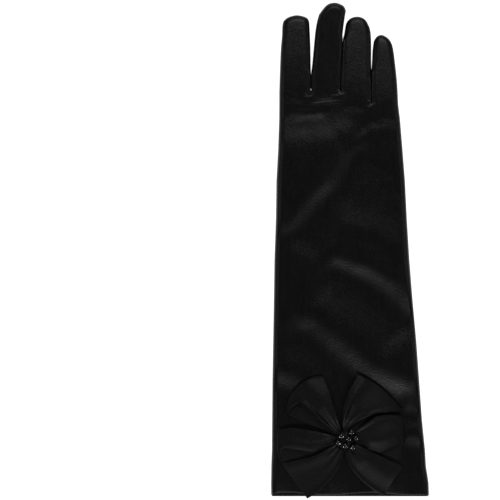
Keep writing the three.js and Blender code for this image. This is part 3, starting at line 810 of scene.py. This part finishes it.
def hem_band(plan, shell):
    """The folded band at the cuff: out along the outer face, round the edge and back inside."""
    top = plan.hem_row
    bottom = shell.lower_of[top][1:-1][::-1]
    ring = shell.vertices[np.concatenate([top, bottom])]
    upness = np.repeat([1.0, 0.0], [len(top), len(bottom)])
    upness[[0, len(top) - 1]] = HEM_SIDE_SHARE
    x, z = ring[:, 0], ring[:, 2]
    tangent = np.roll(ring, -1, axis=0) - np.roll(ring, 1, axis=0)
    inward = np.column_stack([tangent[:, 2], -tangent[:, 0]])
    inward *= HEM_THICKNESS / np.linalg.norm(inward, axis=1)[:, None]
    middle = (x.min() + x.max()) / 2
    radius = HEM_THICKNESS / 2
    wave_y = CUFF_WAVE["height"] * np.sin(x / CUFF_WAVE["length"])
    edge_y = CUFF_Y + upness * (UPPER_SET_BACK + wave_y) + radius
    edge_z = upness * (CUFF_WAVE["rise"] * np.sin(x / CUFF_WAVE["rise_length"]) - MOUTH_DROOP)
    outer = [(share, 0.0, 0.0) for share in np.linspace(0, 1, 12)]
    turn = np.linspace(0, np.pi, 7)[1:-1]
    round_edge = [(1.0, 0.5 - 0.5 * math.cos(a), radius * math.sin(a)) for a in turn]
    inner = [(share, 1.0, 0.0) for share in np.linspace(1, HEM_INNER_END, 9)]
    rows = []
    for share, depth, past in outer + round_edge + inner:
        y = mix(HEM_Y, edge_y, share) - past
        left, right = arm_edges(y)
        flat_x = (left + right) / 2 + (x - middle) * (right - left) / (x.max() - x.min())
        bent_z = z + edge_z * share**2
        rows.append(np.column_stack([flat_x + inward[:, 0] * depth, y, bent_z + inward[:, 1] * depth]))
    vertices = np.vstack(rows)
    faces = turned_over(ring_faces(len(rows) - 1, len(ring)))
    return piece_of("cuff_band", vertices, faces, vertices[:, :2], HEM_CLOTH)


def thumb_cloth():
    """The flat thumb under the palm, open at the oval, with the short collar that joins it to the palm."""
    left = curve_through([row["left"] for row in THUMB], THUMB_ROWS)
    right = curve_through([row["right"] for row in THUMB], THUMB_ROWS)
    grid = mix(left[:, None], right[:, None], across_places(THUMB_COLUMNS)[None, :, None])
    rim = np.ones(grid.shape[:2], bool)
    rim[1:-1, 1:-1] = False
    xy = grid.reshape(-1, 2)
    border = np.vstack([left, grid[-1], right[::-1], grid[0][::-1]])
    rise = np.where(rim.ravel(), 0, rise_at(distance_to(xy, border) / THUMB_EDGE, TOP_POWER))
    edge = THUMB_HEIGHT * EDGE_SHARE
    faces = grid_faces(THUMB_ROWS, THUMB_COLUMNS)
    shell = Pillow(xy, rim.ravel(), faces, mix(edge, THUMB_HEIGHT, rise), edge * (1 - rise))
    upper_cut = cut_mouth(shell.vertices, shell.upper_faces)
    heights, sizes = np.array(COLLAR).T[:, :, None]
    rings = rings_about(sizes, heights, MOUTH_POINTS) * (MOUTH["across"], MOUTH["along"], 1)
    vertices = np.vstack([shell.vertices, rings + (MOUTH["x"], MOUTH["y"], 0)])
    collar = ring_faces(len(COLLAR) - 1, MOUTH_POINTS, len(shell.vertices))
    all_faces = np.vstack([upper_cut, shell.lower_faces, collar])
    return piece_of("thumb_cloth", vertices, all_faces, vertices[:, :2], THUMB_CLOTH)


class Surface:
    """Finds the height of the glove's upper layer. Over the hem it is taken from the cloth next to it."""

    def __init__(self, shell):
        points = [Vector(v) for v in shell.vertices[: shell.upper_count]]
        self.tree = BVHTree.FromPolygons(points, shell.upper_faces.tolist())

    def heights(self, xy):
        starts = [Vector((x, max(y, HEM_Y + 0.5), 5 * ARM_HEIGHT)) for x, y in xy]
        hits = [self.tree.ray_cast(start, Vector((0, 0, -1)))[0] for start in starts]
        return np.array([hit.z if hit else EDGE_SHARE * ARM_HEIGHT for hit in hits])


def reach_at(reach, share):
    """A bowed end of the ribbon, through its reach on one side, in the middle and on the other side."""
    low, middle, high = reach
    ends = low * (1 - share) * (1 - 2 * share) + high * share * (2 * share - 1)
    return ends + 4 * middle * share * (1 - share)


def lobe_ridges(lobe, across, out):
    """Height of the ridges and of the pleats at the knot, for shares across and outward."""
    total = np.zeros(np.broadcast(across, out).shape)
    for at_knot, at_end, rise, width in lobe["ridges"]:
        middle = mix(at_knot, at_end, out)
        total = total + rise * np.exp(-(((across - middle) / width) ** 2)) * smooth(out, 0, RIDGE_START)
    pleats = PLEATS["height"] * np.cos(2 * np.pi * PLEATS["count"] * across) * np.exp(-out / PLEATS["fade"])
    return total + pleats


def lobe_rows(lobe, out, spread_under, profile, surface, with_ridges):
    """Points of one layer of a lobe, for shares outward from the knot."""
    across = np.linspace(0, 1, LOBE_ACROSS + 1)[None, :]
    out = np.asarray(out)[:, None]
    reach = reach_at(lobe["reach"], across)
    r = mix(BOW["start"], reach, 1 - (1 - out) ** LOBE_EASE)
    angle = mix(read_off(lobe["side_a"], r), read_off(lobe["side_b"], r), across)
    if "under" in lobe:
        share = np.ones_like(out) if spread_under else smooth(out, FLARE_FROM, 1)
        angle = mix(angle, mix(*lobe["under"], across), share)
    x = BOW["x"] + r * np.cos(np.radians(angle))
    y = BOW["y"] + r * np.sin(np.radians(angle))
    xy = np.column_stack([x.ravel(), y.ravel()])
    height = np.broadcast_to(read_off(profile, out) * lobe["crest"], r.shape)
    if with_ridges:
        height = height + lobe_ridges(lobe, across, out) * (1 - out**RIDGE_POWER)
    z = surface.heights(xy) + BOW["clear"] + RIBBON + np.maximum(height, 0).ravel()
    return np.column_stack([xy, z])


def lobe_cloth(name, lobe, surface):
    """One lobe of the bow: a loop, out and back, or a tail, out to its cut end."""
    loop = "under" in lobe
    out = np.linspace(0, 1, LOBE_OUT + 1)
    rows = lobe_rows(lobe, out, False, UPPER_PROFILE if loop else TAIL_PROFILE, surface, True)
    if loop:
        back = np.linspace(1, 0, LOBE_BACK + 1)[1:]
        rows = np.vstack([rows, lobe_rows(lobe, back, True, UNDER_PROFILE, surface, False)])
    count = len(rows) // (LOBE_ACROSS + 1) - 1
    uv = np.column_stack([np.tile(np.linspace(0, RIBBON_WIDTH, LOBE_ACROSS + 1), count + 1), rows[:, 1]])
    return piece_of("ribbon_" + name, rows, grid_faces(count, LOBE_ACROSS), uv, RIBBON)


def turns(count):
    """Angles of a whole turn in even steps, without the last."""
    return np.linspace(0, 2 * np.pi, count, endpoint=False)


def rings_about(out, up, count):
    """Rings of points round +Z, at distances out and heights up, each with a row for every ring."""
    x, y = out * np.cos(turns(count)), out * np.sin(turns(count))
    return np.stack([x, y, up + 0 * x], axis=-1).reshape(-1, 3)


def knot_cloth():
    """The knot: a low ribbed cushion of ribbon under the beads."""
    low, high = [np.array(corner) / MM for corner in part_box("bow_knot")]
    middle, half = (low + high) / 2, (high - low) / 2
    rows, columns = KNOT["rows"], KNOT["columns"]
    tilt = (np.pi / 2 * np.arange(rows) / rows)[:, None]
    rib = 1 + KNOT["rib_depth"] * np.cos(KNOT["ribs"] * turns(columns)) * np.cos(tilt)
    out = np.cos(tilt) ** KNOT["side_power"] * rib
    up = 2 * np.sin(tilt) ** KNOT["top_power"] - 1
    rings = middle + half * rings_about(out, up, columns)
    vertices = [*rings, (middle[0], middle[1], low[2]), (middle[0], middle[1], high[2])]
    foot, top = len(rings), len(rings) + 1
    last = foot - columns
    faces = ring_faces(rows - 1, columns).tolist()
    faces += [[foot, (c + 1) % columns, c] for c in range(columns)]
    faces += [[last + c, last + (c + 1) % columns, top] for c in range(columns)]
    return new_object("ribbon_knot", vertices, faces)


def bead_body(name, seed):
    """A round bead with a drilled hole, a little shorter along it, and its centre, axis and radius."""
    low, high = [np.array(corner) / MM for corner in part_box(name)]
    centre = (low + high) / 2
    radius = (high[0] - low[0]) / 2
    source = np.random.default_rng(seed)
    tilt = np.arcsin(BEAD_HOLE / radius)
    angles = np.linspace(tilt, np.pi - tilt, BEAD_RINGS)
    bore_out, bore_up = BEAD_BORE[0] * BEAD_HOLE, BEAD_BORE[1] * radius
    out = np.array([*(radius * np.sin(angles)), bore_out, bore_out])[:, None]
    up = np.array([*(radius * np.cos(angles) * BEAD_LENGTH), -bore_up, bore_up])[:, None]
    vertices = rings_about(out, up, BEAD_SIDES)
    faces = turned_over(ring_faces(len(out), BEAD_SIDES) % len(vertices))
    heading = source.uniform(0, 2 * np.pi)
    lean = np.radians(source.uniform(*BEAD_LEAN))
    axis = np.array([np.sin(lean) * np.cos(heading), np.sin(lean) * np.sin(heading), np.cos(lean)])
    side = np.cross(axis, (0, 0, 1))
    side /= np.linalg.norm(side)
    turned = vertices @ np.array([side, np.cross(axis, side), axis])
    return new_object("glass_" + name, turned + centre, faces), centre, axis, radius


def tubes(name, lines, radius):
    """Thin tubes along lines, closed at their ends and joined into one object."""
    turn = turns(TUBE_SIDES)[None, :, None]
    ring = list(range(TUBE_SIDES))
    vertices = []
    faces = []
    for line in lines:
        first = len(vertices)
        tangent = np.gradient(line, axis=0)
        tangent /= np.linalg.norm(tangent, axis=1)[:, None]
        helper = np.where(np.abs(tangent[:, 2:]) < STEEP, (0, 0, 1), (1, 0, 0))
        side = np.cross(tangent, helper)
        side /= np.linalg.norm(side, axis=1)[:, None]
        up = np.cross(tangent, side)
        rings = line[:, None] + radius * (np.cos(turn) * side[:, None] + np.sin(turn) * up[:, None])
        vertices.extend(rings.reshape(-1, 3))
        faces += ring_faces(len(line) - 1, TUBE_SIDES, first).tolist()
        faces.append([first + c for c in ring[::-1]])
        faces.append([len(vertices) - TUBE_SIDES + c for c in ring])
    return new_object(name, vertices, faces)


def bead_threads(beads):
    """The thread that sews each bead down: out of both ends of its hole and into the knot."""
    lines = []
    for _, centre, axis, radius in beads:
        for way in (-1, 1):
            shares = [THREAD[part] for part in ("inside", "outside", "foot")]
            start, outside, foot = [centre + axis * way * radius * share for share in shares]
            foot[2] = centre[2] - radius * THREAD["drop"]
            bend = (outside + foot) / 2 + axis * way * THREAD["bulge"]
            lines.append(curve_through([start, outside, bend, foot], THREAD_STEPS))
    return tubes("bead_thread", lines, THREAD["radius"])


def stitches_along(path, surface):
    """Short stitches along a path that lies on the upper layer."""
    marks = marks_along(path)
    points = STITCH["points"]
    bow = np.sin(np.linspace(0, np.pi, points)) * STITCH["rise"] - STITCH["sunk"]
    lines = []
    for number in range(int(marks[-1] / STITCH["step"])):
        start = STITCH["step"] * (number + STITCH["first"])
        xy = sampled(np.linspace(start, start + STITCH["length"], points), marks, path)
        lines.append(np.column_stack([xy, surface.heights(xy) + bow]))
    return lines


def seam_stitches(plan, surface):
    """The stitches that hold the hem, and those along the strips between the fingers."""
    y = HEM_STITCHES_Y
    left, right = arm_edges(y)
    hem = np.array([(left + HEM_STITCHES_END, y), (right - HEM_STITCHES_END, y)])
    lines = []
    for path in [hem, *plan.seams]:
        lines.extend(stitches_along(path, surface))
    return tubes("seam_stitches", lines, STITCH["radius"])


class Finish:
    """A material, and short ways to add the nodes that it is made of."""

    def __init__(self, name):
        self.material = bpy.data.materials.new(name)
        self.material.use_nodes = True
        self.tree = self.material.node_tree
        self.where = self.tree.nodes.new("ShaderNodeTexCoord").outputs["Object"]

    def feed(self, node, inputs):
        """Sets a node's inputs to values, or links them to other nodes' outputs."""
        for name, value in inputs.items():
            if isinstance(value, bpy.types.NodeSocket):
                self.tree.links.new(value, node.inputs[name])
            else:
                node.inputs[name].default_value = value

    def add(self, kind, inputs, output, **settings):
        """Adds a node, and returns one of its outputs."""
        node = self.tree.nodes.new("ShaderNode" + kind)
        for name, value in settings.items():
            setattr(node, name, value)
        self.feed(node, inputs)
        return node.outputs[output]

    def noise(self, scale, detail, stretch=(1, 1, 1)):
        place = self.add("Mapping", {"Vector": self.where, "Scale": stretch}, "Vector")
        return self.add("TexNoise", {"Vector": place, "Scale": scale, "Detail": detail}, "Fac")

    def ranged(self, value, low, high):
        return self.add("MapRange", {"Value": value, "To Min": low, "To Max": high}, "Result")

    def colour(self, share, first, second):
        """A colour that goes from the first to the second as share goes from 0 to 1."""
        inputs = {"Factor": share, "A": (*first, 1), "B": (*second, 1)}
        return self.add("Mix", inputs, "Result", data_type="RGBA")

    def bump(self, height, strength, distance):
        return self.add("Bump", {"Height": height, "Strength": strength, "Distance": distance}, "Normal")

    def made(self, inputs):
        """Feeds the shader, and returns the material."""
        self.feed(self.tree.nodes["Principled BSDF"], inputs)
        return self.material


def satin(name, base, roughness, specular):
    """Black satin: a fine slanted weave, slubs and grain that break up its sheen, and slightly uneven dye."""
    finish = Finish(name)
    grain = finish.noise(scale=700, detail=0.5)
    slub = finish.noise(scale=260, detail=2, stretch=(1, 0.16, 1))
    cloud = finish.noise(scale=26, detail=2)
    threads = {"Vector": finish.where, "Scale": 720, "Distortion": 1.2, "Detail": 1}
    weave = finish.add("TexWave", threads, "Fac", wave_type="BANDS", bands_direction="DIAGONAL")
    weave_share = 0.12
    height = finish.add("Math", {0: weave, 1: weave_share, 2: grain}, "Value", operation="MULTIPLY_ADD")
    dark, light = [[base * share for share in shares] for shares in (SATIN_DARK, SATIN_LIGHT)]
    return finish.made({
        "Base Color": finish.colour(cloud, dark, light),
        "Roughness": finish.ranged(slub, roughness - SATIN_STRAY, roughness + SATIN_STRAY),
        "Sheen Weight": 0.02,
        "Sheen Roughness": 0.45,
        "Specular IOR Level": specular,
        "Normal": finish.bump(height, strength=0.6, distance=0.00014),
    })


def bead_gloss():
    """Glossy black beads, faintly uneven as moulded ones are."""
    finish = Finish("bead_gloss")
    cloud = finish.noise(scale=300, detail=2)
    return finish.made({
        "Base Color": finish.colour(cloud, (0.002, 0.002, 0.0022), (0.004, 0.004, 0.0044)),
        "Roughness": finish.ranged(cloud, 0.03, 0.05),
        "Specular IOR Level": 0.6,
        "Normal": finish.bump(cloud, strength=0.1, distance=0.00002),
    })


def thread_finish():
    """Matt black sewing thread with its twist."""
    finish = Finish("sewing_thread")
    twist = finish.noise(scale=3000, detail=1)
    return finish.made({
        "Base Color": finish.colour(twist, (0.004, 0.004, 0.004), (0.012, 0.012, 0.012)),
        "Roughness": finish.ranged(twist, 0.5, 0.7),
    })


def white_paper():
    """The pale table top under the glove."""
    finish = Finish("white_paper")
    cloud = finish.noise(scale=4, detail=2)
    seen = finish.add("LightPath", {}, "Is Camera Ray")
    return finish.made({
        "Base Color": finish.colour(cloud, (0.86, 0.86, 0.86), (0.9, 0.9, 0.9)),
        "Roughness": 0.9,
        "Emission Color": (1, 1, 1, 1),
        "Emission Strength": finish.ranged(seen, 0.12, 1),
    })


def finish_piece(piece, material, slot, *nodes):
    """Dresses a piece, puts it on the body and lets it stand for CAD nodes."""
    piece.data.materials.clear()
    piece.data.materials.append(material)
    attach(piece, "root")
    if nodes:
        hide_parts(*nodes)


def finish_sheet(sheet, material, slot, node):
    piece, area = sheet
    finish_piece(piece, material, slot, node)


def softbox(name, place, aim, size, power):
    """A soft rectangular studio light."""
    light = bpy.data.lights.new(name, "AREA")
    light.shape = "RECTANGLE"
    light.size, light.size_y = size
    light.energy = power
    made = in_scene(name, light)
    made.location = place
    made.rotation_euler = (Vector((0, aim, 0)) - Vector(place)).to_track_quat("-Z", "Y").to_euler()
    made.visible_camera = False
    return made


def studio(beads):
    """A pale table, soft lights on all sides, some that shine on the beads alone, and the camera above."""
    half = TABLE_HALF
    corners = [(-half, -half, 0), (half, -half, 0), (half, half, 0), (-half, half, 0)]
    table = new_object("table", corners, [(0, 1, 2, 3)])
    table.location.z = -TABLE_DROP * MM
    table.data.materials.append(white_paper())
    for light in LIGHTS:
        softbox(**light)
    bead_group = bpy.data.collections.new("beads")
    for bead in beads:
        bead_group.objects.link(bead)
    for light in BEAD_LIGHTS:
        softbox(**light).light_linking.receiver_collection = bead_group
    world = bpy.data.worlds.new("studio")
    bpy.context.scene.world = world
    world.use_nodes = True
    for name, value in SKY.items():
        world.node_tree.nodes["Background"].inputs[name].default_value = value
    bpy.context.scene.view_settings.view_transform = "Standard"
    camera = in_scene("camera", bpy.data.cameras.new("camera"))
    camera.location = (PHOTO_CENTRE_X * MM, 0, CAMERA_HEIGHT * MM)
    camera.data.sensor_width = SENSOR
    camera.data.lens = SENSOR * (CAMERA_HEIGHT - FOCUS_HEIGHT) / (PHOTO_PIXELS * MM_PER_PIXEL)
    bpy.context.scene.camera = camera


def build():
    """Makes and finishes every piece, and returns the beads."""
    cloth = satin("black_satin", base=0.002, roughness=0.32, specular=0.5)
    ribbon = satin("black_ribbon", base=0.002, roughness=0.46, specular=0.33)
    gloss = bead_gloss()
    thread = thread_finish()

    plan, shell, body, strips = glove_cloth()
    surface = Surface(shell)
    finish_sheet(body, cloth, "satin", "glove_body")
    for name, strip in zip(STRIP_NAMES, strips):
        finish_sheet(strip, cloth, "satin", name)
    finish_sheet(hem_band(plan, shell), cloth, "satin", "cuff_hem")
    finish_sheet(thumb_cloth(), cloth, "satin", "thumb")

    for kind, lobes in (("loop", LOOPS), ("tail", TAILS)):
        for name, lobe in lobes.items():
            sheet = lobe_cloth(name, lobe, surface)
            finish_sheet(sheet, ribbon, "bow_satin", name)
    finish_piece(knot_cloth(), ribbon, "bow_satin", "bow_knot")

    beads = []
    for number in range(1, BEAD_COUNT + 1):
        name = "bead_%d" % number
        bead = bead_body(name, number)
        finish_piece(bead[0], gloss, "bead", name)
        beads.append(bead)
    finish_piece(bead_threads(beads), thread, "bow_satin")
    finish_piece(seam_stitches(plan, surface), thread, "satin")
    return [bead[0] for bead in beads]


studio(build())
